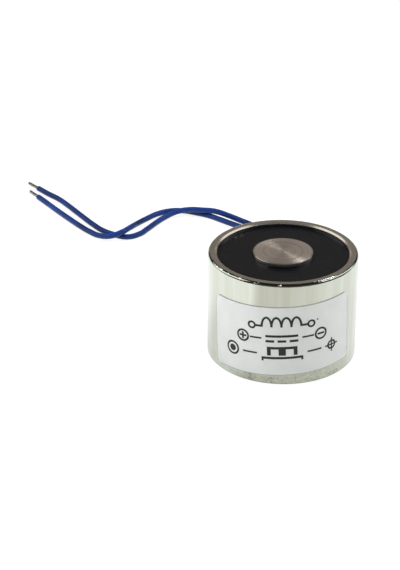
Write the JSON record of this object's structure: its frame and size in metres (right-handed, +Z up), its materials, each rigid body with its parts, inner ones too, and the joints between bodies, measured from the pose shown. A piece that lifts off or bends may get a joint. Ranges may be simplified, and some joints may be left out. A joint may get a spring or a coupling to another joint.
{
  "type": "holding electromagnet",
  "caption": "Round holding electromagnet: a plated steel cup with a potted coil round a turned pole, a tapped hole in its base, a side label and loose insulated leads.",
  "frame": {"origin": "centre of the base, on the surface that the magnet stands on", "axes": "+Z up along the magnet's axis, out of the pole face; -Y towards the label; +Y towards the leads"},
  "size_m": [0.0765, 0.0964, 0.022],
  "materials": {
    "nickel_plate": "bright nickel plate",
    "turned_steel": "turned, concentric marks",
    "bobbin_nylon": "moulded",
    "enamelled_copper": "enamelled copper wire",
    "polyester_tape": "smooth",
    "solder": "dull",
    "shrink_sleeve": "satin",
    "black_resin": "cast, satin",
    "black_rubber": "matt",
    "label_stock": "satin film",
    "blue_insulation": "satin PVC",
    "tie_nylon": "moulded",
    "tinned_strand": "tinned copper"
  },
  "bodies": {
    "root": {"housing": "nickel_plate", "core": "turned_steel", "bobbin": "bobbin_nylon", "winding": "enamelled_copper", "winding_tape": "polyester_tape", "start_tail": "enamelled_copper", "finish_tail": "enamelled_copper", "start_joint": "solder", "finish_joint": "solder", "start_sleeve": "shrink_sleeve", "finish_sleeve": "shrink_sleeve", "potting": "black_resin", "lead_grommet": "black_rubber", "label": "label_stock", "lead_a_near": "blue_insulation", "lead_b_near": "blue_insulation", "lead_coil": "blue_insulation", "coil_tie": "tie_nylon", "lead_a_far": "blue_insulation", "lead_b_far": "blue_insulation", "tinned_end_a": "tinned_strand", "tinned_end_b": "tinned_strand"}
  },
  "joints": []
}
